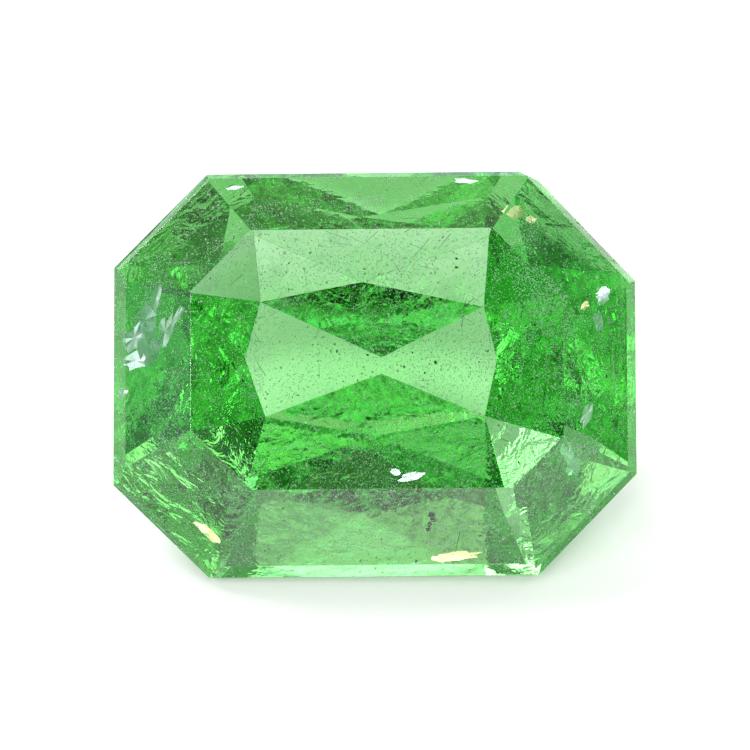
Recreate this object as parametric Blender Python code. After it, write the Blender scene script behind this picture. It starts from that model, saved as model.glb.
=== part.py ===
"""A loose tsavorite garnet: an eight-sided native cut that lies on one facet of its pavilion.

The rough block is cut facet by facet, as on a lap: first the girdle, then the table and the crown,
then the pavilion, and last the chips at one corner. While it is cut, the stone has its table up,
X along its length, Y across it, and Z = 0 at its lowest edge, the keel. The finished stone is then
laid down on the front facet of the pavilion. All the dimensions below are in millimetres.
"""

import math

import bmesh
import bpy
from mathutils import Matrix, Vector

MM = 0.001
BLOCK_SIZE = 12.0

# The girdle seen from above, clockwise. Each entry is the corner where a side starts, then the
# side's crown width, from the girdle in to the table, and the width of its low step.
SIDES = {
    "back": ((-2.09, 2.49), 0.70, 0.05),
    "back_right": ((1.92, 2.53), 0.82, 0.07),
    "right": ((3.23, 1.17), 0.90, 0.11),
    "front_right": ((3.25, -1.23), 0.99, 0.08),
    "front": ((2.04, -2.48), 1.09, 0.14),
    "front_left": ((-2.06, -2.52), 1.16, 0.08),
    "left": ((-3.25, -1.37), 0.96, 0.15),
    "back_left": ((-3.24, 1.33), 0.88, 0.07),
}
# The back right end of the back side is worn off upright, across these two points.
WORN_CORNER = ((1.78, 2.53), (1.99, 2.43))

GIRDLE_TOP = 2.80
TABLE_HEIGHT = 3.38
STEP_SLOPE = 50.0

# The pavilion. Its four main facets meet at the keel, a short edge that runs across the stone.
KEEL_BACK = (0.08, 0.22)
KEEL_FRONT = (0.08, 0.02)
LEFT_MAIN_SLOPE = 19.5
RIGHT_MAIN_SLOPE = 20.5
# Where two main facets and a corner facet meet, seen from above.
CORNER_MEETS = {
    "back_left": (-1.43, 0.91),
    "back_right": (1.36, 0.85),
    "front_left": (-1.37, -0.52),
    "front_right": (1.37, -0.51),
}
# Where a main facet comes to its outer tip.
MAIN_TIPS = {
    "back": (-0.16, 1.16),
    "front": (0.01, -0.76),
    "left": (-1.62, 0.21),
    "right": (1.52, 0.19),
}
# Spots below the table's corners. The edges from the corner meets run out over them, one on the
# long side of each corner and one on its short side.
LONG_SIDE_SPOTS = {
    "back_left": (-1.51, 1.74),
    "back_right": (1.42, 1.72),
    "front_left": (-1.57, -1.29),
    "front_right": (1.60, -1.37),
}
SHORT_SIDE_SPOTS = {
    "back_left": (-2.29, 1.02),
    "back_right": (2.30, 0.99),
    "front_left": (-2.29, -0.70),
    "front_right": (2.30, -0.78),
}
# How much faster the outer facets rise than the main facet inside them, as a tangent.
STEEPENING = {"back": 0.38, "front": 0.11, "left": 0.62, "right": 0.64}

# Two shell-shaped chips at the back right corner: centre and radius of the ball that fits each.
CHIPS = {
    "chip_at_crown": ((3.05, 1.51, 2.87), 0.15),
    "chip_at_girdle": ((3.30, 1.03, 2.78), 0.09),
}

# Green garnet: colour, roughness, refractive index.
GARNET_COLOUR = (0.08, 0.43, 0.10, 1.0)
GARNET_ROUGHNESS = 0.02
GARNET_IOR = 1.74


def point(plan, height):
    """A point of the stone in metres, from its place in the plan and its height above the keel."""
    return Vector((plan[0], plan[1], height)) * MM


def flat(spot):
    """The spot's place in the plan alone, in metres."""
    return Vector((spot[0], spot[1])) * MM


def height_on(facet, spot):
    """How high the plane of a facet is over a spot of the plan, in millimetres."""
    origin, normal = facet
    run = flat(spot) - origin.xy
    return (origin.z - normal.xy.dot(run) / normal.z) / MM


def down_facing(a, b, c):
    """The facet plane through three points, facing down and out."""
    normal = (b - a).cross(c - a).normalized()
    if normal.z > 0:
        normal.negate()
    return a, normal


def outward(start, end):
    """The plan direction that points out of the stone across a girdle side."""
    along = (flat(end) - flat(start)).normalized()
    return Vector((-along.y, along.x))


def main_facet(slope, side):
    """A main facet that leaves the keel at a slope, toward side -1 for left or 1 for right."""
    rise = math.tan(math.radians(slope))
    beside_keel = (KEEL_BACK[0] + side, KEEL_BACK[1])
    return down_facing(point(KEEL_BACK, 0), point(KEEL_FRONT, 0), point(beside_keel, rise))


def height_beyond(main, tip, meet, spot, steepening):
    """The height over a spot of an outer facet that leaves a main facet along its edge."""
    edge = flat(tip) - flat(meet)
    distance = abs(edge.cross(flat(spot) - flat(meet))) / edge.length / MM
    return height_on(main, spot) + steepening * distance


def girdle_and_crown_facets():
    """The upright girdle sides, the low step and main facet of the crown over each, the table."""
    facets = []
    corners = [corner for corner, width, step in SIDES.values()]
    step_rise = math.tan(math.radians(STEP_SLOPE))
    for index, (start, crown_width, step_width) in enumerate(SIDES.values()):
        out = outward(start, corners[(index + 1) % len(corners)])
        facets.append((point(start, 0), out.to_3d()))
        step_normal = Vector((out.x * step_rise, out.y * step_rise, 1)).normalized()
        facets.append((point(start, GIRDLE_TOP), step_normal))
        step_top = GIRDLE_TOP + step_width * step_rise
        rise = (TABLE_HEIGHT - step_top) / (crown_width - step_width)
        ridge = point(start, step_top) - out.to_3d() * step_width * MM
        facets.append((ridge, Vector((out.x * rise, out.y * rise, 1)).normalized()))
    facets.append((point(WORN_CORNER[0], 0), outward(*WORN_CORNER).to_3d()))
    facets.append((point((0, 0), TABLE_HEIGHT), Vector((0, 0, 1))))
    return facets


def pavilion_facets():
    """The facets under the girdle: 4 main, 8 outer, 4 end and 4 corner facets, by name."""
    mains = {"left": main_facet(LEFT_MAIN_SLOPE, -1), "right": main_facet(RIGHT_MAIN_SLOPE, 1)}
    meets = {}
    for corner, plan in CORNER_MEETS.items():
        side = "left" if corner.endswith("left") else "right"
        meets[corner] = point(plan, height_on(mains[side], plan))
    mains["back"] = down_facing(point(KEEL_BACK, 0), meets["back_left"], meets["back_right"])
    mains["front"] = down_facing(point(KEEL_FRONT, 0), meets["front_left"], meets["front_right"])
    tips = {side: point(tip, height_on(mains[side], tip)) for side, tip in MAIN_TIPS.items()}
    facets = {f"{side}_main": facet for side, facet in mains.items()}
    ends = {side: [tip] for side, tip in tips.items()}
    for corner, meet in meets.items():
        long_side, short_side = corner.split("_")
        spots = ((long_side, LONG_SIDE_SPOTS[corner]), (short_side, SHORT_SIDE_SPOTS[corner]))
        outer_points = []
        for side, spot in spots:
            height = height_beyond(
                mains[side], MAIN_TIPS[side], CORNER_MEETS[corner], spot, STEEPENING[side]
            )
            outer_points.append(point(spot, height))
            ends[side].append(outer_points[-1])
            facets[f"{corner}_by_{side}"] = down_facing(meet, tips[side], outer_points[-1])
        facets[f"{corner}_corner"] = down_facing(meet, *outer_points)
    for side, three_points in ends.items():
        facets[f"{side}_end"] = down_facing(*three_points)
    return facets


def cut_facet(mesh, facet):
    """Cuts away all that lies outside the facet's plane, and closes the stone with a flat face."""
    origin, normal = facet
    everything = mesh.verts[:] + mesh.edges[:] + mesh.faces[:]
    cut = bmesh.ops.bisect_plane(
        mesh, geom=everything, dist=1e-9, plane_co=origin, plane_no=normal, clear_outer=True
    )
    rim = [item for item in cut["geom_cut"] if isinstance(item, bmesh.types.BMEdge)]
    bmesh.ops.holes_fill(mesh, edges=rim, sides=0)


def garnet():
    """The clear green material of the stone."""
    material = bpy.data.materials.new("green garnet")
    material.use_nodes = True
    shader = material.node_tree.nodes["Principled BSDF"]
    shader.inputs["Base Color"].default_value = GARNET_COLOUR
    shader.inputs["Roughness"].default_value = GARNET_ROUGHNESS
    shader.inputs["Metallic"].default_value = 0.0
    shader.inputs["IOR"].default_value = GARNET_IOR
    shader.inputs["Transmission Weight"].default_value = 1.0
    return material


def cut_stone(collection):
    """The stone, from the rough block to the last facet."""
    mesh = bmesh.new()
    bmesh.ops.create_cube(mesh, size=BLOCK_SIZE * MM)
    for facet in girdle_and_crown_facets():
        cut_facet(mesh, facet)
    for facet in pavilion_facets().values():
        cut_facet(mesh, facet)
    bmesh.ops.recalc_face_normals(mesh, faces=mesh.faces)
    data = bpy.data.meshes.new("tsavorite")
    mesh.to_mesh(data)
    mesh.free()
    stone = bpy.data.objects.new("tsavorite", data)
    stone.data.materials.append(garnet())
    collection.objects.link(stone)
    return stone


def add_chip(stone, collection, name, centre, radius):
    """Knocks a shell-shaped chip off the stone with a ball."""
    bpy.ops.mesh.primitive_ico_sphere_add(subdivisions=3, radius=radius * MM)
    ball = bpy.context.object
    ball.name = name
    ball.location = Vector(centre) * MM
    ball.hide_render = True
    ball.display_type = "WIRE"
    for old in ball.users_collection:
        old.objects.unlink(ball)
    collection.objects.link(ball)
    chip = stone.modifiers.new(name, "BOOLEAN")
    chip.operation = "DIFFERENCE"
    chip.solver = "EXACT"
    chip.object = ball
    return ball


def lying_down(stone, facet):
    """The turn and shift that lay the stone on a facet, its middle over the origin."""
    origin, normal = facet
    up = -normal
    along = (Vector((1, 0, 0)) - up * up.x).normalized()
    turn = Matrix((along, up.cross(along), up)).to_4x4()
    corners = [turn @ vertex.co for vertex in stone.data.vertices]
    middle_x = (min(c.x for c in corners) + max(c.x for c in corners)) / 2
    middle_y = (min(c.y for c in corners) + max(c.y for c in corners)) / 2
    lowest = (turn @ origin).z
    return Matrix.Translation((-middle_x, -middle_y, -lowest)) @ turn


def main():
    for old in list(bpy.data.objects):
        bpy.data.objects.remove(old)
    parts = bpy.data.collections.new("tsavorite garnet")
    cutters = bpy.data.collections.new("cutters")
    bpy.context.scene.collection.children.link(parts)
    bpy.context.scene.collection.children.link(cutters)

    stone = cut_stone(parts)
    pieces = [stone]
    for name, (centre, radius) in CHIPS.items():
        pieces.append(add_chip(stone, cutters, name, centre, radius))

    rest = bpy.data.objects.new("rest", None)
    rest.matrix_world = lying_down(stone, pavilion_facets()["front_end"])
    parts.objects.link(rest)
    for piece in pieces:
        piece.parent = rest


main()
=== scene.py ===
"""The look of a loose tsavorite garnet that lies on one facet of its pavilion."""

import math

import bmesh
import bpy
from mathutils import Matrix, Vector, noise


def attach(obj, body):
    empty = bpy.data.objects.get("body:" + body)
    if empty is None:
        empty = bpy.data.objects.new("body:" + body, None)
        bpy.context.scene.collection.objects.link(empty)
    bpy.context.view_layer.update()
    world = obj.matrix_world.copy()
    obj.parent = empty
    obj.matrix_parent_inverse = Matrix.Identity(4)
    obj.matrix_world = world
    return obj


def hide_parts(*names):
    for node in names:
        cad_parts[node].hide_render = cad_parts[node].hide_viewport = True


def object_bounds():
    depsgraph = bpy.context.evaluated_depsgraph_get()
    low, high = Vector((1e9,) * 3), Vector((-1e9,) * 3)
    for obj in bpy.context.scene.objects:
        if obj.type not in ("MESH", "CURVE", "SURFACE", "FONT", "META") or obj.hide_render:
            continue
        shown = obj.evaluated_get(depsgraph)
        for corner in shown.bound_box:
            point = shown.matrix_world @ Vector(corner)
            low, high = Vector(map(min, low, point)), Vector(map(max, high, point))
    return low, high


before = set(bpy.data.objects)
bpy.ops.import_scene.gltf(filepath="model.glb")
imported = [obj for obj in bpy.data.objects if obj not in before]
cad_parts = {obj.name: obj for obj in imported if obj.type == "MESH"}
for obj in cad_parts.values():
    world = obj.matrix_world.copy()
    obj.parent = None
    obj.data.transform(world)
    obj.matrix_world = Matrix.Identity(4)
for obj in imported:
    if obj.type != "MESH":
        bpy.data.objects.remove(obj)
cad_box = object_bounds()

# THE CUT STONE
# One piece of natural green garnet, sawn, lapped facet by facet and polished. It is clear, and wear
# has softened its edges and nicked a few. The film of wax on five of its lower facets is a guess.

MM = 0.001
# How the stone lies: its own length, width and table normal, and the spot below its centre.
LYING = Matrix(
    (
        (0.999982357, -0.004379124, -0.004011708, 0.000006008),
        (0.0, 0.675496936, -0.737362802, 0.001771358),
        (0.0059389, 0.737349808, 0.675485015, 0.000070245),
        (0.0, 0.0, 0.0, 1.0),
    )
)
ALONG = LYING.col[0].to_3d().normalized()
ACROSS = LYING.col[1].to_3d().normalized()
TABLE_NORMAL = LYING.col[2].to_3d().normalized()

# How wide the edges are worn, in mm. Edges shorter or flatter than these stay as they are.
EDGE_WEAR = 0.006
SHORTEST_WORN_EDGE = 0.12
FLATTEST_WORN_EDGE = math.radians(2)
# The cut shape's triangles this near to one plane are one facet, and points this near, in m, are one.
FLAT_FACET = math.radians(0.3)
SAME_POINT = 1e-7
# Facets that a film of wax wets, by the way that they face, and how thickly from 0 to 1. These and
# the band below were found by trial, for facets as bright as in the photograph at its own view.
FILMED_FACETS = {
    "back_end": ((0.00174, 0.98303, 0.18345), 0.76),
    "back_left_by_back": ((-0.05138, 0.99278, 0.10837), 1.0),
    "back_right_by_back": ((0.047, 0.99296, 0.10875), 0.95),
    "back_left_corner": ((-0.49712, 0.8654, 0.06293), 0.5),
    "front_right_corner": ((0.52898, 0.11717, -0.8405), 0.65),
}
# The film's share of what it lets out, by how slantingly it is met: 0 is square on.
FILM_BAND = [(0.22, 0.0), (0.32, 1.0), (0.43, 1.0), (0.5, 0.0)]
# Nicks along the girdle and the table's edge: place in the plan, height and radius, all in mm.
NICKS = [
    ((-2.72, 1.93), 2.79, 0.035),
    ((-3.26, -0.62), 2.80, 0.030),
    ((-1.10, -2.52), 2.78, 0.040),
    ((0.62, -2.51), 2.81, 0.028),
    ((2.66, -1.90), 2.80, 0.045),
    ((3.25, 0.30), 2.79, 0.032),
    ((-0.35, 2.52), 2.81, 0.030),
    ((2.52, 1.89), 2.80, 0.035),
    ((1.42, 1.80), 3.38, 0.018),
    ((-2.36, -0.88), 3.38, 0.016),
    ((0.40, -1.42), 3.38, 0.014),
]
# How uneven the nicks are, beside their radius.
NICK_LUMPS = 0.25

# Green garnet: its refractive index, the colour that it lets through, and how strongly it takes up
# the rest for each metre.
GARNET_IOR = 1.74
GARNET_COLOUR = (0.443, 0.843, 0.414, 1)
GARNET_DENSITY = 700.0
# How rough the most rubbed patches of the polish are, how far out of flat its waves go in m, and the
# noise scale of both.
RUBBED = 0.06
WAVE_HEIGHT = 0.000015
WAVE_SCALE = 2600.0


def in_stone(plan, height):
    """A spot of the stone in the frame, from its place in the plan and its height, in mm."""
    return LYING @ (Vector((plan[0], plan[1], height)) * MM)


def only(selected_object):
    """Selects one object alone and makes it the active one."""
    bpy.ops.object.select_all(action="DESELECT")
    selected_object.select_set(True)
    bpy.context.view_layer.objects.active = selected_object


def set_origin(piece):
    """Puts the piece's place into its mesh, so that the object sits unturned at the origin."""
    only(piece)
    bpy.ops.object.transform_apply(location=True, rotation=True, scale=True)


def node(tree, kind, **settings):
    """Adds a node and sets its properties, and its sockets where the name is one."""
    made = tree.nodes.new(kind)
    for name, value in settings.items():
        if hasattr(made, name):
            setattr(made, name, value)
        else:
            made.inputs[name.replace("_", " ").title()].default_value = value
    return made


def cut_stone():
    """The stone's own mesh from the cut shape, merged to whole facets, with worn edges."""
    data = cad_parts["tsavorite"].data.copy()
    stone = bpy.data.objects.new("garnet_stone", data)
    bpy.context.scene.collection.objects.link(stone)
    only(stone)
    bpy.ops.object.mode_set(mode="EDIT")
    bpy.ops.mesh.select_mode(type="EDGE")
    bpy.ops.mesh.select_all(action="SELECT")
    bpy.ops.mesh.remove_doubles(threshold=SAME_POINT)
    bpy.ops.mesh.dissolve_limited(angle_limit=FLAT_FACET)
    bpy.ops.mesh.select_all(action="DESELECT")
    mesh = bmesh.from_edit_mesh(stone.data)
    for edge in mesh.edges:
        long_enough = edge.calc_length() > SHORTEST_WORN_EDGE * MM
        edge.select = long_enough and edge.calc_face_angle(0) > FLATTEST_WORN_EDGE
    bmesh.update_edit_mesh(stone.data)
    bpy.ops.mesh.bevel(offset=EDGE_WEAR * MM, segments=2, profile=0.5, clamp_overlap=True)
    bpy.ops.object.mode_set(mode="OBJECT")
    return stone


def knocked_about(piece, amount, seed):
    """Pushes a piece's points in and out at random, so that it is as uneven as a natural one."""
    only(piece)
    bpy.ops.object.mode_set(mode="EDIT")
    bpy.ops.mesh.select_all(action="SELECT")
    bpy.ops.transform.vertex_random(offset=amount, uniform=0.0, normal=1.0, seed=seed)
    bpy.ops.object.mode_set(mode="OBJECT")


def joined(name, pieces):
    """Joins like pieces into one, under a name."""
    bpy.ops.object.select_all(action="DESELECT")
    for piece in pieces:
        piece.select_set(True)
    bpy.context.view_layer.objects.active = pieces[0]
    bpy.ops.object.join()
    bpy.context.object.name = name
    return bpy.context.object


def knock_nicks(stone):
    """Knocks the small nicks off the stone's edges, each with a lumpy ball of its own."""
    balls = []
    for index, (plan, height, radius) in enumerate(NICKS):
        bpy.ops.mesh.primitive_ico_sphere_add(
            subdivisions=2, radius=radius * MM, location=in_stone(plan, height)
        )
        ball = bpy.context.object
        knocked_about(ball, NICK_LUMPS * radius * MM, index)
        set_origin(ball)
        balls.append(ball)
    cutter = joined("nick balls", balls)
    only(stone)
    cut = stone.modifiers.new("nicks", "BOOLEAN")
    cut.operation = "DIFFERENCE"
    cut.solver = "EXACT"
    cut.object = cutter
    bpy.ops.object.modifier_apply(modifier="nicks")
    bpy.data.objects.remove(cutter)


def mark_facets(stone):
    """Writes on each facet how thick its film is and, below the girdle, how wavy its polish is."""
    filmed = stone.data.attributes.new("filmed", "FLOAT", "FACE")
    wavy = stone.data.attributes.new("wavy", "FLOAT", "FACE")
    for face in stone.data.polygons:
        down = -face.normal.dot(TABLE_NORMAL)
        endwise = min(1.0, 0.3 + 3 * abs(face.normal.dot(ALONG)))
        wavy.data[face.index].value = endwise if down > 0.05 else 0.0
        for facing, thickness in FILMED_FACETS.values():
            if face.normal.dot(Vector(facing).normalized()) > 0.9998:
                filmed.data[face.index].value = thickness


def garnet_finish():
    """Clear green garnet: its colour is all inside, in how it takes up light on the way through."""
    material = bpy.data.materials.new("green garnet")
    material.use_nodes = True
    tree = material.node_tree
    shader = tree.nodes["Principled BSDF"]
    shader.inputs["Transmission Weight"].default_value = 1.0
    shader.inputs["IOR"].default_value = GARNET_IOR
    inside = node(tree, "ShaderNodeVolumeAbsorption", Color=GARNET_COLOUR, Density=GARNET_DENSITY)
    tree.links.new(inside.outputs[0], tree.nodes["Material Output"].inputs["Volume"])

    place = node(tree, "ShaderNodeTexCoord")
    filmed = node(tree, "ShaderNodeAttribute", attribute_name="filmed")
    wavy = node(tree, "ShaderNodeAttribute", attribute_name="wavy")

    # Faint rubbed patches in the polish.
    patches = node(tree, "ShaderNodeTexNoise", Scale=WAVE_SCALE, Detail=4.0, Roughness=0.6)
    tree.links.new(place.outputs["Object"], patches.inputs["Vector"])
    rubbed = node(tree, "ShaderNodeMapRange")
    rubbed.inputs["From Min"].default_value = 0.55
    rubbed.inputs["From Max"].default_value = 0.8
    rubbed.inputs["To Max"].default_value = RUBBED
    tree.links.new(patches.outputs["Fac"], rubbed.inputs["Value"])
    tree.links.new(rubbed.outputs[0], shader.inputs["Roughness"])

    # Where a film of wax wets a facet, what meets it at a middling angle goes straight out.
    slant = node(tree, "ShaderNodeLayerWeight")
    slant.inputs["Blend"].default_value = 0.5
    band = node(tree, "ShaderNodeValToRGB")
    stops = band.color_ramp.elements
    while len(stops) < len(FILM_BAND):
        stops.new(1.0)
    for stop, (at, share) in zip(stops, FILM_BAND):
        stop.position = at
        stop.color = (share, share, share, 1)
    tree.links.new(slant.outputs["Facing"], band.inputs[0])
    uneven = node(tree, "ShaderNodeMapRange")
    uneven.inputs["From Min"].default_value = 0.35
    uneven.inputs["From Max"].default_value = 0.6
    uneven.inputs["To Min"].default_value = 0.8
    uneven.inputs["To Max"].default_value = 1.0
    tree.links.new(patches.outputs["Fac"], uneven.inputs["Value"])
    film = node(tree, "ShaderNodeMath", operation="MULTIPLY")
    tree.links.new(filmed.outputs["Fac"], film.inputs[0])
    tree.links.new(uneven.outputs[0], film.inputs[1])
    leak = node(tree, "ShaderNodeMath", operation="MULTIPLY")
    tree.links.new(film.outputs[0], leak.inputs[0])
    tree.links.new(band.outputs[0], leak.inputs[1])
    held = node(tree, "ShaderNodeMath", operation="SUBTRACT")
    held.inputs[0].default_value = 1.0
    tree.links.new(leak.outputs[0], held.inputs[1])
    tree.links.new(held.outputs[0], shader.inputs["Alpha"])

    # The lower facets' slight waves, which break up what they mirror.
    waves = node(tree, "ShaderNodeTexNoise", Scale=WAVE_SCALE, Detail=3.0, Roughness=0.55)
    waves.inputs["Distortion"].default_value = 0.6
    tree.links.new(place.outputs["Object"], waves.inputs["Vector"])
    how_wavy = node(tree, "ShaderNodeMapRange")
    how_wavy.inputs["To Min"].default_value = 0.05
    how_wavy.inputs["To Max"].default_value = 1.0
    tree.links.new(wavy.outputs["Fac"], how_wavy.inputs["Value"])
    height = node(tree, "ShaderNodeMath", operation="MULTIPLY")
    tree.links.new(waves.outputs["Fac"], height.inputs[0])
    tree.links.new(how_wavy.outputs[0], height.inputs[1])
    bump = node(tree, "ShaderNodeBump", Strength=1.0, Distance=WAVE_HEIGHT)
    tree.links.new(height.outputs[0], bump.inputs["Height"])
    tree.links.new(bump.outputs[0], shader.inputs["Normal"])
    return material


stone = cut_stone()
knock_nicks(stone)
mark_facets(stone)
stone.data.materials.clear()
stone.data.materials.append(garnet_finish())
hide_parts("tsavorite")
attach(stone, "root")

# THE PALE GRAINS
# Tiny crystals of other minerals that the garnet grew around, 0.016 to 0.040 mm across. They lie in
# loose clouds and look pale on the dark facets, dark on bright ones.

# How far below the stone's surface a grain stays, in mm.
GRAIN_MARGIN = 0.032
# How many spots are tried, and how long, wide and thick a grain is beside its size.
GRAIN_TRIES = 9000
GRAIN_SEED = 3
GRAIN_SIZES = (0.016, 0.040)
GRAIN_SHAPE = (1.0, 0.8, 0.9)
# How uneven a grain is, beside its size.
GRAIN_LUMPS = 0.14
# The clouds: their noise scale, and the noise where grains start and where none is left out.
GRAIN_CLOUDS = (900.0, 0.35, 0.75)
# The clouds thicken by this much for each millimetre above this height, in mm.
GRAIN_RISE = 0.12
GRAIN_LEVEL = 2.5
# A spot well inside the stone, by its height in mm, that every grain has to see.
STONE_MIDDLE = 1.9
MINERAL_SCALE = 9000.0


def kept_in_stone(tree, points, shell, seed, clouds, rise=0.0, level=0.0, margin=GRAIN_MARGIN):
    """Drops the points that lie outside the shell, too near its wall, or between the clouds.

    The clouds thicken by the rise for each millimetre above the level, and thin out below it.
    """
    links = tree.links
    body = node(tree, "GeometryNodeObjectInfo")
    body.inputs["Object"].default_value = shell
    place = node(tree, "GeometryNodeInputPosition")
    wall = node(tree, "GeometryNodeSampleNearestSurface", data_type="FLOAT_VECTOR")
    facing = node(tree, "GeometryNodeInputNormal")
    nearest = node(tree, "GeometryNodeProximity", target_element="FACES")
    links.new(body.outputs["Geometry"], wall.inputs["Mesh"])
    links.new(body.outputs["Geometry"], nearest.inputs[0])
    links.new(facing.outputs[0], wall.inputs["Value"])
    away = node(tree, "ShaderNodeVectorMath", operation="SUBTRACT")
    links.new(nearest.outputs["Position"], away.inputs[0])
    links.new(place.outputs[0], away.inputs[1])
    depth = node(tree, "ShaderNodeVectorMath", operation="DOT_PRODUCT")
    links.new(away.outputs["Vector"], depth.inputs[0])
    links.new(wall.outputs["Value"], depth.inputs[1])
    outside = node(tree, "ShaderNodeMath", operation="LESS_THAN")
    outside.inputs[1].default_value = margin * MM
    links.new(depth.outputs["Value"], outside.inputs[0])

    # Past a sharp edge the depth can mislead, so a point that can't see the middle is outside too.
    inward = node(tree, "ShaderNodeVectorMath", operation="SUBTRACT")
    inward.inputs[0].default_value = in_stone((0, 0), STONE_MIDDLE)
    links.new(place.outputs[0], inward.inputs[1])
    reach = node(tree, "ShaderNodeVectorMath", operation="LENGTH")
    links.new(inward.outputs["Vector"], reach.inputs[0])
    sight = node(tree, "GeometryNodeRaycast")
    links.new(body.outputs["Geometry"], sight.inputs["Target Geometry"])
    links.new(place.outputs[0], sight.inputs["Source Position"])
    links.new(inward.outputs["Vector"], sight.inputs["Ray Direction"])
    links.new(reach.outputs["Value"], sight.inputs["Ray Length"])
    stray = node(tree, "ShaderNodeMath", operation="MAXIMUM")
    links.new(outside.outputs[0], stray.inputs[0])
    links.new(sight.outputs["Is Hit"], stray.inputs[1])

    cloud = node(tree, "ShaderNodeTexNoise", Scale=clouds[0], Detail=2.0)
    cloud.noise_dimensions = "4D"
    cloud.inputs["W"].default_value = seed * 1.7
    links.new(place.outputs[0], cloud.inputs["Vector"])
    slope = node(tree, "ShaderNodeVectorMath", operation="DOT_PRODUCT")
    slope.inputs[1].default_value = TABLE_NORMAL * (rise / MM)
    links.new(place.outputs[0], slope.inputs[0])
    above = node(tree, "ShaderNodeMath", operation="SUBTRACT")
    above.inputs[1].default_value = in_stone((0, 0), level).dot(TABLE_NORMAL) * rise / MM
    links.new(slope.outputs["Value"], above.inputs[0])
    dense = node(tree, "ShaderNodeMath", operation="ADD")
    links.new(cloud.outputs["Fac"], dense.inputs[0])
    links.new(above.outputs[0], dense.inputs[1])
    chance = node(tree, "FunctionNodeRandomValue", data_type="FLOAT")
    chance.inputs["Seed"].default_value = seed + 50
    chance.inputs[2].default_value = clouds[1]
    chance.inputs[3].default_value = clouds[2]
    thin = node(tree, "ShaderNodeMath", operation="LESS_THAN")
    links.new(dense.outputs[0], thin.inputs[0])
    links.new(chance.outputs[1], thin.inputs[1])
    drop = node(tree, "ShaderNodeMath", operation="MAXIMUM")
    links.new(stray.outputs[0], drop.inputs[0])
    links.new(thin.outputs[0], drop.inputs[1])
    keep = node(tree, "GeometryNodeDeleteGeometry")
    links.new(points, keep.inputs["Geometry"])
    links.new(drop.outputs[0], keep.inputs["Selection"])
    return keep.outputs[0]


def strew(name, tree, points, grain, seed, sizes, stretch):
    """Puts a turned copy of the grain, few of them big, on each point, as one real mesh."""
    links = tree.links
    shape = node(tree, "GeometryNodeObjectInfo")
    shape.inputs["Object"].default_value = grain
    turn = node(tree, "FunctionNodeRandomValue", data_type="FLOAT_VECTOR")
    turn.inputs["Max"].default_value = (math.tau,) * 3
    turn.inputs["Seed"].default_value = seed + 100
    luck = node(tree, "FunctionNodeRandomValue", data_type="FLOAT")
    luck.inputs["Seed"].default_value = seed + 150
    few_big = node(tree, "ShaderNodeMath", operation="POWER")
    few_big.inputs[1].default_value = 3.0
    links.new(luck.outputs[1], few_big.inputs[0])
    size = node(tree, "ShaderNodeMapRange")
    size.inputs["To Min"].default_value = sizes[0] * MM
    size.inputs["To Max"].default_value = sizes[1] * MM
    links.new(few_big.outputs[0], size.inputs["Value"])
    form = node(tree, "ShaderNodeVectorMath", operation="SCALE")
    form.inputs[0].default_value = stretch
    links.new(size.outputs[0], form.inputs["Scale"])
    strewn = node(tree, "GeometryNodeInstanceOnPoints")
    links.new(points, strewn.inputs["Points"])
    links.new(shape.outputs["Geometry"], strewn.inputs["Instance"])
    links.new(turn.outputs["Value"], strewn.inputs["Rotation"])
    links.new(form.outputs["Vector"], strewn.inputs["Scale"])
    real = node(tree, "GeometryNodeRealizeInstances")
    result = node(tree, "NodeGroupOutput")
    links.new(strewn.outputs[0], real.inputs[0])
    links.new(real.outputs[0], result.inputs[0])

    holder = bpy.data.objects.new(name, bpy.data.meshes.new(name))
    bpy.context.scene.collection.objects.link(holder)
    only(holder)
    scatter = holder.modifiers.new("scatter", "NODES")
    scatter.node_group = tree
    bpy.ops.object.modifier_apply(modifier="scatter")
    holder.data.materials.clear()
    return holder


def grain_clouds(
    name, grain, shell, count, seed, sizes, stretch, clouds, rise, level, margin=GRAIN_MARGIN
):
    """Strews copies of a grain all through the shell in clouds."""
    tree = bpy.data.node_groups.new(name, "GeometryNodeTree")
    tree.interface.new_socket("Geometry", in_out="OUTPUT", socket_type="NodeSocketGeometry")
    spots = node(tree, "FunctionNodeRandomValue", data_type="FLOAT_VECTOR")
    spots.inputs["Min"].default_value = cad_box[0]
    spots.inputs["Max"].default_value = cad_box[1]
    spots.inputs["Seed"].default_value = seed
    points = node(tree, "GeometryNodePoints")
    points.inputs["Count"].default_value = count
    tree.links.new(spots.outputs["Value"], points.inputs["Position"])
    kept = kept_in_stone(tree, points.outputs[0], shell, seed, clouds, rise, level, margin)
    return strew(name, tree, kept, grain, seed, sizes, stretch)


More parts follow.
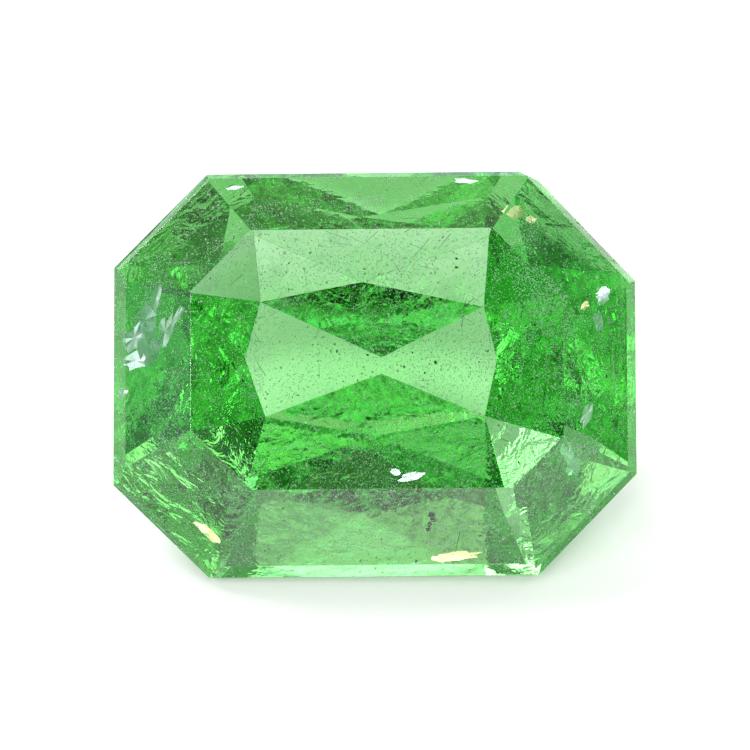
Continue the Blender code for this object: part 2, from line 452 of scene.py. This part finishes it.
def grain_tones():
    """Two tones of one mineral, which change from grain to grain: the colour, and its share."""
    group = bpy.data.node_groups.new("grain tones", "ShaderNodeTree")
    sockets = group.interface
    sockets.new_socket("Tone", in_out="INPUT", socket_type="NodeSocketColor")
    sockets.new_socket("Other Tone", in_out="INPUT", socket_type="NodeSocketColor")
    sockets.new_socket("Scale", in_out="INPUT", socket_type="NodeSocketFloat")
    sockets.new_socket("Colour", in_out="OUTPUT", socket_type="NodeSocketColor")
    sockets.new_socket("Share", in_out="OUTPUT", socket_type="NodeSocketFloat")
    given = node(group, "NodeGroupInput")
    place = node(group, "ShaderNodeTexCoord")
    tones = node(group, "ShaderNodeTexNoise", Detail=1.0)
    mix = node(group, "ShaderNodeMix", data_type="RGBA")
    result = node(group, "NodeGroupOutput")
    group.links.new(place.outputs["Object"], tones.inputs["Vector"])
    group.links.new(given.outputs["Scale"], tones.inputs["Scale"])
    group.links.new(tones.outputs["Fac"], mix.inputs[0])
    group.links.new(given.outputs["Tone"], mix.inputs[6])
    group.links.new(given.outputs["Other Tone"], mix.inputs[7])
    group.links.new(mix.outputs[2], result.inputs["Colour"])
    group.links.new(tones.outputs["Fac"], result.inputs["Share"])
    return group


def toned(name, colour, other, scale):
    """A new material whose base colour is two tones. Gives it, its tree, shader and tones."""
    material = bpy.data.materials.new(name)
    material.use_nodes = True
    tree = material.node_tree
    shader = tree.nodes["Principled BSDF"]
    tones = node(tree, "ShaderNodeGroup", node_tree=GRAIN_TONES)
    tones.inputs["Tone"].default_value = (*colour, 1)
    tones.inputs["Other Tone"].default_value = (*other, 1)
    tones.inputs["Scale"].default_value = scale
    tree.links.new(tones.outputs["Colour"], shader.inputs["Base Color"])
    return material, tree, shader, tones


def mineral_finish(name, colour, other, roughness):
    """A small foreign crystal: dull, of two tones."""
    material, _, shader, _ = toned(name, colour, other, MINERAL_SCALE)
    shader.inputs["Roughness"].default_value = roughness
    return material


GRAIN_TONES = grain_tones()
bpy.ops.mesh.primitive_ico_sphere_add(subdivisions=1, radius=0.5)
grain = bpy.context.object
knocked_about(grain, GRAIN_LUMPS, 1)
pale_grains = grain_clouds(
    "pale_grains", grain, stone, GRAIN_TRIES, GRAIN_SEED, GRAIN_SIZES, GRAIN_SHAPE, GRAIN_CLOUDS,
    GRAIN_RISE, GRAIN_LEVEL,
)
pale_grains.data.materials.append(
    mineral_finish("pale mineral", (0.95, 0.97, 0.90), (0.75, 0.80, 0.70), 0.5)
)
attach(pale_grains, "root")
bpy.data.objects.remove(grain)

# THE MILKY DUST
# Finer grains and drops still, 0.012 to 0.022 mm across, that cloud the stone in patches. They are
# densest close under the table and the crown.

DUST_TRIES = 80000
DUST_SEED = 10
DUST_SIZES = (0.012, 0.022)
DUST_SHAPE = (1.0, 0.8, 0.9)
DUST_LUMPS = 0.1
# Three sets of clouds, of middling, small and large patches.
DUST_CLOUDS = [(1100.0, 0.50, 0.68), (2600.0, 0.50, 0.66), (700.0, 0.50, 0.66)]
# The clouds thicken by this much for each millimetre above this height, in mm.
DUST_RISE = 0.22
DUST_LEVEL = 2.6

bpy.ops.mesh.primitive_uv_sphere_add(segments=4, ring_count=2, radius=0.5)
speck = bpy.context.object
knocked_about(speck, DUST_LUMPS, 2)
dust_finish = mineral_finish("milky dust", (0.80, 0.92, 0.95), (0.65, 0.80, 0.80), 0.6)
for number, clouds in enumerate(DUST_CLOUDS, start=1):
    dust = grain_clouds(
        f"milky_dust_{number}", speck, stone, DUST_TRIES, DUST_SEED + number, DUST_SIZES, DUST_SHAPE,
        clouds, DUST_RISE, DUST_LEVEL,
    )
    dust.data.materials.append(dust_finish)
    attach(dust, "root")

# THE HEALED CRACKS
# Old cracks that the growing garnet closed again. Each is a bent sheet of tiny fluid drops that
# hangs in the stone like a veil.

DROPS_PER_SQUARE_MM = 2150
DROP_SIZES = (0.010, 0.022)
# Each veil: middle in the plan, height, length and width in mm, then how it is turned in the plan,
# tipped about its length and rolled about its width, in degrees.
VEILS = [
    ((0.00, 0.43), 3.00, (0.75, 0.50), 20, 25, 10),
    ((0.35, 0.80), 2.60, (1.30, 0.40), -10, 35, 15),
    ((-1.10, 1.08), 2.70, (0.75, 0.42), -20, 10, 0),
    ((-1.15, 1.08), 3.20, (0.70, 0.45), -20, 6, 0),
    ((-0.45, 1.45), 3.15, (1.50, 0.55), -6, 8, 4),
    ((0.75, 1.35), 3.10, (1.20, 0.55), 10, -8, 4),
    ((0.60, -0.95), 2.85, (1.90, 0.45), 8, 30, -10),
    ((-0.30, -1.15), 2.50, (1.40, 0.40), -25, 50, 10),
    ((0.30, -1.95), 2.75, (2.20, 0.50), 3, -35, 5),
    ((1.00, -1.75), 2.60, (0.90, 0.60), 40, -30, 20),
    ((1.70, 0.45), 2.70, (1.30, 0.60), 70, 40, -20),
    ((2.10, 0.90), 2.80, (1.20, 0.50), -60, 30, 35),
    ((2.45, -0.30), 2.70, (1.50, 0.50), 95, 35, 10),
    ((2.20, -1.20), 2.65, (1.00, 0.50), 120, 30, -10),
    ((1.50, 1.40), 2.75, (1.10, 0.50), 35, 35, 15),
    ((-2.60, 0.90), 2.75, (1.00, 0.45), 70, -30, 10),
    ((-2.50, -0.40), 2.70, (1.10, 0.45), 85, -35, -15),
    ((-2.00, -1.40), 2.70, (1.00, 0.50), 140, -30, 0),
    ((-1.90, 1.45), 2.75, (1.00, 0.40), 30, 30, 20),
    ((-1.60, 0.20), 2.40, (1.00, 0.50), 100, 55, 0),
    ((-0.70, 2.00), 2.80, (1.60, 0.35), 5, 35, 0),
]
VEIL_BEND = 0.16
DROP_SEED = 31
DROP_SHAPE = (1.0, 1.0, 0.6)
DROP_CLOUDS = (1500.0, 0.40, 0.62)


def bent_sheet(index, plan, height, size, turn, tip, roll):
    """A thin sheet at a place in the stone, bent and rippled like a torn leaf."""
    bpy.ops.mesh.primitive_grid_add(x_subdivisions=14, y_subdivisions=8, size=1.0)
    sheet = bpy.context.object
    for vertex in sheet.data.vertices:
        across = noise.noise(vertex.co * 1.6 + Vector((index * 5.1, 0, 0)))
        ripple = noise.noise(vertex.co * 6.0 + Vector((0, index * 3.3, 0)))
        vertex.co.z = VEIL_BEND * (2.0 * across + 0.4 * ripple)
        vertex.co.x *= 1 + 0.3 * across
    sheet.scale = (size[0] * MM, size[1] * MM, size[1] * MM)
    sheet.rotation_euler = (math.radians(tip), math.radians(roll), math.radians(turn))
    sheet.location = (plan[0] * MM, plan[1] * MM, height * MM)
    set_origin(sheet)
    for vertex in sheet.data.vertices:
        vertex.co = LYING @ vertex.co
    return sheet


def drops_on(name, sheets, shell, drop, density, seed, sizes, clouds):
    """Strews drops over sheets, thickly in some places, and makes them one real mesh."""
    tree = bpy.data.node_groups.new(name, "GeometryNodeTree")
    tree.interface.new_socket("Geometry", in_out="OUTPUT", socket_type="NodeSocketGeometry")
    veil = node(tree, "GeometryNodeObjectInfo")
    veil.inputs["Object"].default_value = sheets
    spread = node(tree, "GeometryNodeDistributePointsOnFaces")
    spread.inputs["Density"].default_value = density * 1e6
    spread.inputs["Seed"].default_value = seed
    tree.links.new(veil.outputs["Geometry"], spread.inputs["Mesh"])
    kept = kept_in_stone(tree, spread.outputs["Points"], shell, seed, clouds)
    return strew(name, tree, kept, drop, seed, sizes, DROP_SHAPE)


veils = joined("veils", [bent_sheet(index, *veil) for index, veil in enumerate(VEILS)])
healed_cracks = drops_on(
    "healed_cracks", veils, stone, speck, DROPS_PER_SQUARE_MM, DROP_SEED, DROP_SIZES, DROP_CLOUDS
)
healed_cracks.data.materials.append(
    mineral_finish("fluid drops", (0.90, 1.0, 1.0), (0.80, 0.95, 0.95), 0.4)
)
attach(healed_cracks, "root")
bpy.data.objects.remove(veils)
bpy.data.objects.remove(speck)

# THE OPEN CRACKS
# Small flat cracks with air in them, close under the crown. They are thin wavy leaves with torn
# rims, and they mirror the tent's light like silver, which makes the white and cyan flashes. A few
# are stained yellow.

LEAF_THICKNESS = 0.004
LEAF_TONE_SCALE = 6000.0
# Each leaf: middle in the plan, height, length and width in mm, turn, tip and roll in degrees.
LEAVES = [
    ((-2.82, 0.68), 2.94, (0.42, 0.30), 80, 0, -15),
    ((-2.96, 0.46), 2.88, (0.36, 0.26), 60, 3, -14),
    ((-2.78, 0.34), 2.94, (0.46, 0.30), 100, -3, -16),
    ((-2.56, 0.54), 3.01, (0.42, 0.20), 75, 0, -13),
    ((-2.94, 0.18), 2.88, (0.30, 0.22), 30, 4, -16),
    ((-2.68, 0.94), 2.98, (0.48, 0.11), 82, 0, -15),
    ((-2.40, 0.74), 3.08, (0.26, 0.08), 60, 2, -14),
    ((-3.12, -0.22), 2.86, (0.16, 0.13), 20, 0, -15),
    ((2.80, 0.98), 2.96, (0.22, 0.15), 60, 0, 15),
    ((2.74, 0.66), 2.97, (0.28, 0.13), 100, 3, 14),
    ((2.58, -0.48), 3.00, (0.32, 0.13), 70, 0, 14),
    ((2.36, -0.95), 3.02, (0.34, 0.15), 110, -4, 15),
    ((2.44, -1.12), 2.98, (0.28, 0.18), 80, 0, 14),
    ((0.45, -1.26), 3.20, (0.30, 0.10), 12, 4, -5),
    ((0.25, -1.20), 3.15, (0.12, 0.08), -10, -4, -6),
    ((1.12, 2.40), 2.88, (0.30, 0.07), -4, -20, 0),
    ((-1.75, 2.30), 2.88, (0.20, 0.05), 8, -17, 0),
]
# The leaves that are stained yellow.
WARM_LEAVES = [
    ((1.72, 1.99), 2.95, (0.28, 0.17), 25, -21, 0),
    ((1.90, 1.90), 2.93, (0.14, 0.10), 0, -20, 5),
    ((1.03, -2.22), 2.88, (0.50, 0.12), 6, 14, 0),
    ((0.80, -2.26), 2.87, (0.22, 0.08), -10, 14, 0),
    ((2.56, 0.86), 3.02, (0.14, 0.09), 50, 0, 15),
    ((-2.05, -1.95), 2.92, (0.40, 0.12), -40, 12, -8),
]


def torn_leaf(index, plan, height, size, turn, tip, roll):
    """A closed wavy leaf with a torn rim, at a place in the stone."""
    bpy.ops.mesh.primitive_circle_add(vertices=14, radius=0.5, fill_type="TRIFAN")
    leaf = bpy.context.object
    for vertex in leaf.data.vertices:
        rim = noise.noise(vertex.co * 4.0 + Vector((index * 4.7, 0, 0)))
        vertex.co *= 1 + 0.6 * rim
        vertex.co.z = 0.05 * noise.noise(vertex.co * 3.0 + Vector((0, 0, index * 2.9)))
    leaf.scale = (size[0] * MM, size[1] * MM, size[1] * MM)
    leaf.rotation_euler = (math.radians(tip), math.radians(roll), math.radians(turn))
    only(leaf)
    bpy.ops.object.transform_apply(location=False, rotation=False, scale=True)
    thick = leaf.modifiers.new("thick", "SOLIDIFY")
    thick.thickness = LEAF_THICKNESS * MM
    bpy.ops.object.modifier_apply(modifier="thick")
    leaf.location = (plan[0] * MM, plan[1] * MM, height * MM)
    set_origin(leaf)
    for vertex in leaf.data.vertices:
        vertex.co = LYING @ vertex.co
    return leaf


def silvery_finish(name, colour, other):
    """The wall of a thin air gap, which mirrors nearly all the light, in two tints."""
    material, tree, shader, tones = toned(name, colour, other, LEAF_TONE_SCALE)
    shader.inputs["Metallic"].default_value = 1.0
    dull = node(tree, "ShaderNodeMapRange")
    dull.inputs["To Min"].default_value = 0.15
    dull.inputs["To Max"].default_value = 0.4
    tree.links.new(tones.outputs["Share"], dull.inputs["Value"])
    tree.links.new(dull.outputs[0], shader.inputs["Roughness"])
    return material


for name, leaves, tints in (
    ("open_cracks", LEAVES, ((0.66, 0.97, 1.0), (1.0, 1.0, 1.0))),
    ("warm_cracks", WARM_LEAVES, ((1.0, 0.93, 0.38), (1.0, 1.0, 0.70))),
):
    cracks = joined(name, [torn_leaf(index, *leaf) for index, leaf in enumerate(leaves)])
    cracks.data.materials.clear()
    cracks.data.materials.append(silvery_finish(name, *tints))
    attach(cracks, "root")

# THE BLACK GRAINS
# A few crystals of a black mineral, probably graphite, that the garnet grew around. The plainest sit
# in a short row under the front of the crown.

# Each: place in the plan, height and size in mm.
BLACK_GRAINS = [
    ((0.70, -1.71), 3.12, 0.085),
    ((0.72, -1.77), 3.10, 0.085),
    ((0.68, -1.83), 3.08, 0.070),
    ((0.66, -1.89), 3.06, 0.065),
    ((0.75, 0.16), 3.10, 0.05),
    ((-2.81, -0.58), 2.92, 0.04),
    ((2.08, 1.67), 2.95, 0.04),
    ((0.36, 0.10), 2.95, 0.035),
    ((0.62, 0.03), 2.80, 0.030),
    ((0.01, -1.00), 2.90, 0.035),
    ((-2.42, 1.16), 2.92, 0.035),
    ((0.40, 0.75), 2.70, 0.030),
    ((1.40, 0.30), 2.60, 0.035),
    ((-0.60, 2.10), 2.85, 0.030),
    ((1.25, -0.60), 2.60, 0.040),
]
# How uneven a black grain is, beside its size.
BLACK_LUMPS = 0.16


def black_crystal(index, plan, height, size):
    """One black grain: an ico ball pushed in and out, longer one way."""
    bpy.ops.mesh.primitive_ico_sphere_add(subdivisions=2, radius=0.5)
    grain = bpy.context.object
    knocked_about(grain, BLACK_LUMPS, index)
    grain.scale = (size * MM, size * (0.7 + 0.05 * (index % 5)) * MM, size * 0.8 * MM)
    grain.rotation_euler = (index * 1.3, index * 0.7, index * 2.1)
    grain.location = in_stone(plan, height)
    set_origin(grain)
    return grain


black_grains = joined(
    "black_grains", [black_crystal(index, *grain) for index, grain in enumerate(BLACK_GRAINS)]
)
black_grains.data.materials.clear()
black_grains.data.materials.append(
    mineral_finish("black mineral", (0.010, 0.012, 0.010), (0.030, 0.035, 0.030), 0.4)
)
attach(black_grains, "root")

# THE DARK SPECKS AND THE NEEDLES
# Scattered dark grains, smaller than the black ones, and fine needles, some dark and some pale, that
# lie all ways in the stone. They grew in the rock before the garnet closed round them.

SPECK_TRIES = 5500
SPECK_SEED = 41
SPECK_SIZES = (0.014, 0.055)
SPECK_SHAPE = (1.0, 0.6, 0.8)
SPECK_LUMPS = 0.18
SPECK_CLOUDS = (1300.0, 0.50, 0.80)
SPECK_RISE = 0.1
SPECK_LEVEL = 2.7
NEEDLE_TRIES = 1000
NEEDLE_LENGTHS = (0.10, 0.50)
NEEDLE_SLIMNESS = 0.03
NEEDLE_CLOUDS = (1200.0, 0.42, 0.60)
NEEDLE_RISE = 0.1
NEEDLE_LEVEL = 2.6
# How far below the stone's surface a needle's middle stays, in mm.
NEEDLE_MARGIN = 0.27

bpy.ops.mesh.primitive_ico_sphere_add(subdivisions=1, radius=0.5)
chunk = bpy.context.object
knocked_about(chunk, SPECK_LUMPS, 4)
dark_specks = grain_clouds(
    "dark_specks", chunk, stone, SPECK_TRIES, SPECK_SEED, SPECK_SIZES, SPECK_SHAPE, SPECK_CLOUDS,
    SPECK_RISE, SPECK_LEVEL,
)
dark_specks.data.materials.append(
    mineral_finish("dark mineral", (0.02, 0.07, 0.03), (0.07, 0.15, 0.08), 0.5)
)
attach(dark_specks, "root")
bpy.data.objects.remove(chunk)

bpy.ops.mesh.primitive_cylinder_add(vertices=5, radius=0.5, depth=1.0, end_fill_type="TRIFAN")
needle = bpy.context.object
for vertex in needle.data.vertices:
    taper = 1 - 0.7 * abs(vertex.co.z + 0.2)
    vertex.co.x = vertex.co.x * taper + 0.6 * vertex.co.z**2
    vertex.co.y *= taper
slim = (NEEDLE_SLIMNESS, NEEDLE_SLIMNESS, 1.0)
for name, seed, finish in (
    ("dark_needles", 61, mineral_finish("dark needle", (0.03, 0.10, 0.05), (0.08, 0.16, 0.09), 0.4)),
    ("pale_needles", 62, mineral_finish("pale needle", (0.80, 0.95, 0.95), (0.65, 0.85, 0.80), 0.4)),
):
    needles = grain_clouds(
        name, needle, stone, NEEDLE_TRIES, seed, NEEDLE_LENGTHS, slim, NEEDLE_CLOUDS, NEEDLE_RISE,
        NEEDLE_LEVEL, NEEDLE_MARGIN,
    )
    needles.data.materials.append(finish)
    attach(needles, "root")
bpy.data.objects.remove(needle)

# THE TABLE TOP AND THE CAMERA
# A sheet of white paper in a small light tent, with the stone lying on it. The camera looks square
# on to the stone's table, from well back.

PAD_SIZE = 0.8
PAD_DEPTH = 0.000005
PAD_WHITE = 0.76
PAD_GLOW = 0.05
# A glow on the paper, which stands in for the light that the stone gathers under itself: how bright
# it is, how far out it goes to the sides and to the front and back, and how far back its middle
# lies, in mm. Its strength was found by trial, and it also brightens what is seen through the stone.
GATHERED_GLOW = 0.8
GATHERED_SPOT = (2.8, 1.9)
GATHERED_MIDDLE = 0.8

bpy.ops.mesh.primitive_plane_add(size=PAD_SIZE, location=(0, 0, -PAD_DEPTH))
floor = bpy.context.object
floor.name = "floor"
set_origin(floor)
paper = bpy.data.materials.new("white paper")
paper.use_nodes = True
pad = paper.node_tree.nodes["Principled BSDF"]
pad.inputs["Base Color"].default_value = (PAD_WHITE, PAD_WHITE, PAD_WHITE, 1)
pad.inputs["Roughness"].default_value = 1.0
pad.inputs["Emission Color"].default_value = (1, 1, 1, 1)
tree = paper.node_tree
place = node(tree, "ShaderNodeTexCoord")
squeeze = node(tree, "ShaderNodeVectorMath", operation="MULTIPLY_ADD")
squeeze.inputs[1].default_value = (1 / (GATHERED_SPOT[0] * MM), 1 / (GATHERED_SPOT[1] * MM), 0)
squeeze.inputs[2].default_value = (0, -GATHERED_MIDDLE / GATHERED_SPOT[1], 0)
tree.links.new(place.outputs["Object"], squeeze.inputs[0])
far = node(tree, "ShaderNodeVectorMath", operation="LENGTH")
tree.links.new(squeeze.outputs["Vector"], far.inputs[0])
glow = node(tree, "ShaderNodeMapRange", interpolation_type="SMOOTHSTEP")
glow.inputs["From Min"].default_value = 0.6
glow.inputs["From Max"].default_value = 1.0
glow.inputs["To Min"].default_value = GATHERED_GLOW
glow.inputs["To Max"].default_value = PAD_GLOW
tree.links.new(far.outputs["Value"], glow.inputs["Value"])
tree.links.new(glow.outputs[0], pad.inputs["Emission Strength"])
floor.data.materials.append(paper)

# How far the camera stands in m from a height on the stone in mm, the width that the picture takes
# in there in mm, and the sensor's width in mm.
CAMERA_DISTANCE = 0.25
PICTURE_WIDTH = 9.3212
PICTURE_HEIGHT = 2.66
SENSOR = 36.0
camera_data = bpy.data.cameras.new("camera")
camera_data.sensor_width = SENSOR
camera_data.lens = SENSOR / (PICTURE_WIDTH * MM) * CAMERA_DISTANCE
camera_data.clip_start = 0.001
camera = bpy.data.objects.new("camera", camera_data)
bpy.context.scene.collection.objects.link(camera)
facing = Matrix((ALONG, ACROSS, TABLE_NORMAL)).transposed().to_4x4()
facing.translation = in_stone((0, 0), PICTURE_HEIGHT) + TABLE_NORMAL * CAMERA_DISTANCE
camera.matrix_world = facing
bpy.context.scene.camera = camera

# THE LIGHT
# A tent of white cloth glows all round the stone, with lamps at its back wall, on both sides of the
# camera and further to the left. The camera looks in through a small dark opening.

# How bright the tent is at so many degrees off the camera's axis: the dark opening, the bright front,
# a dim ring, and the brightest band a little past square to the axis. This light can't be seen in
# the photograph. These values, the cloth's and the lamps' were found by trial, to look like it.
TENT_BRIGHTNESS = [
    (0.0, 0.02),
    (1.5, 0.02),
    (3.0, 1.45),
    (47.0, 1.45),
    (56.0, 0.35),
    (69.0, 0.35),
    (80.0, 1.0),
    (88.0, 1.0),
    (94.0, 2.9),
    (110.0, 2.9),
    (120.0, 1.1),
    (180.0, 1.1),
]
# The cloth lets the light through unevenly: the noise of its patches, how dim and how bright they
# are, and its two tints.
CLOTH_SCALE = 9.0
CLOTH_SEED = 6.4
CLOTH_RANGE = (0.1, 1.9)
TINT_SCALE = 6.3
TINT_SEED = 9.1
COOL_CLOTH = (0.88, 1.0, 1.1)
WARM_CLOTH = (1.06, 1.0, 0.84)
# Lamps: where each stands round the camera's axis, counted from the stone's right, its angle off the
# axis and its width, all in degrees, and how bright it is.
LAMPS = {
    "back_wall": (120.0, 88.0, 30.0, 9.0),
    "left_of_camera": (175.0, 13.5, 13.0, 12.0),
    "right_of_camera": (5.0, 13.0, 8.0, 9.0),
    "left": (175.0, 40.0, 7.0, 5.0),
    "lower_left": (225.0, 27.0, 8.0, 5.0),
}
LAMP_DISTANCE = 0.3

tent = bpy.data.worlds.new("light tent")
tent.use_nodes = True
bpy.context.scene.world = tent
tree = tent.node_tree
direction = node(tree, "ShaderNodeTexCoord")
toward = node(tree, "ShaderNodeVectorMath", operation="DOT_PRODUCT")
toward.inputs[1].default_value = TABLE_NORMAL
tree.links.new(direction.outputs["Generated"], toward.inputs[0])
angle = node(tree, "ShaderNodeMath", operation="ARCCOSINE")
tree.links.new(toward.outputs["Value"], angle.inputs[0])
share = node(tree, "ShaderNodeMath", operation="DIVIDE")
share.inputs[1].default_value = math.pi
tree.links.new(angle.outputs[0], share.inputs[0])
rings = node(tree, "ShaderNodeValToRGB")
stops = rings.color_ramp.elements
while len(stops) < len(TENT_BRIGHTNESS):
    stops.new(1.0)
for stop, (off_axis, brightness) in zip(stops, TENT_BRIGHTNESS):
    stop.position = off_axis / 180
    stop.color = (brightness, brightness, brightness, 1)
tree.links.new(share.outputs[0], rings.inputs[0])
cloth = node(tree, "ShaderNodeTexNoise", Scale=CLOTH_SCALE, Detail=1.0)
cloth.noise_dimensions = "4D"
cloth.inputs["W"].default_value = CLOTH_SEED
tree.links.new(direction.outputs["Generated"], cloth.inputs["Vector"])
patchy = node(tree, "ShaderNodeMapRange")
patchy.inputs["From Min"].default_value = 0.35
patchy.inputs["From Max"].default_value = 0.65
patchy.inputs["To Min"].default_value = CLOTH_RANGE[0]
patchy.inputs["To Max"].default_value = CLOTH_RANGE[1]
tree.links.new(cloth.outputs["Fac"], patchy.inputs["Value"])
tones = node(tree, "ShaderNodeTexNoise", Scale=TINT_SCALE, Detail=1.0)
tones.noise_dimensions = "4D"
tones.inputs["W"].default_value = TINT_SEED
tree.links.new(direction.outputs["Generated"], tones.inputs["Vector"])
spread = node(tree, "ShaderNodeMapRange")
spread.inputs["From Min"].default_value = 0.4
spread.inputs["From Max"].default_value = 0.6
tree.links.new(tones.outputs["Fac"], spread.inputs["Value"])
tint = node(tree, "ShaderNodeMix", data_type="RGBA")
tint.inputs[6].default_value = (*COOL_CLOTH, 1)
tint.inputs[7].default_value = (*WARM_CLOTH, 1)
tree.links.new(spread.outputs[0], tint.inputs[0])
tinted = node(tree, "ShaderNodeVectorMath", operation="MULTIPLY")
tree.links.new(rings.outputs[0], tinted.inputs[0])
tree.links.new(tint.outputs[2], tinted.inputs[1])
lit_cloth = node(tree, "ShaderNodeVectorMath", operation="SCALE")
tree.links.new(tinted.outputs["Vector"], lit_cloth.inputs[0])
tree.links.new(patchy.outputs[0], lit_cloth.inputs["Scale"])
seen = node(tree, "ShaderNodeLightPath")
shown = node(tree, "ShaderNodeMix", data_type="RGBA")
shown.inputs[7].default_value = (1, 1, 1, 1)
tree.links.new(seen.outputs["Is Camera Ray"], shown.inputs[0])
tree.links.new(lit_cloth.outputs["Vector"], shown.inputs[6])
tree.links.new(shown.outputs[2], tree.nodes["Background"].inputs["Color"])

for name, (around, off_axis, width, brightness) in LAMPS.items():
    turn, tilt = math.radians(around), math.radians(off_axis)
    sideways = ALONG * math.cos(turn) + ACROSS * math.sin(turn)
    spot = (sideways * math.sin(tilt) + TABLE_NORMAL * math.cos(tilt)) * LAMP_DISTANCE
    lamp_data = bpy.data.lights.new(name, "AREA")
    lamp_data.size = 2 * LAMP_DISTANCE * math.tan(math.radians(width / 2))
    lamp_data.energy = brightness * math.pi * lamp_data.size**2
    lamp = bpy.data.objects.new(name, lamp_data)
    bpy.context.scene.collection.objects.link(lamp)
    lamp.location = spot
    lamp.rotation_euler = spot.to_track_quat("Z", "Y").to_euler()

scene = bpy.context.scene
scene.cycles.max_bounces = 32
scene.cycles.glossy_bounces = 24
scene.cycles.transmission_bounces = 24
scene.view_settings.view_transform = "Standard"
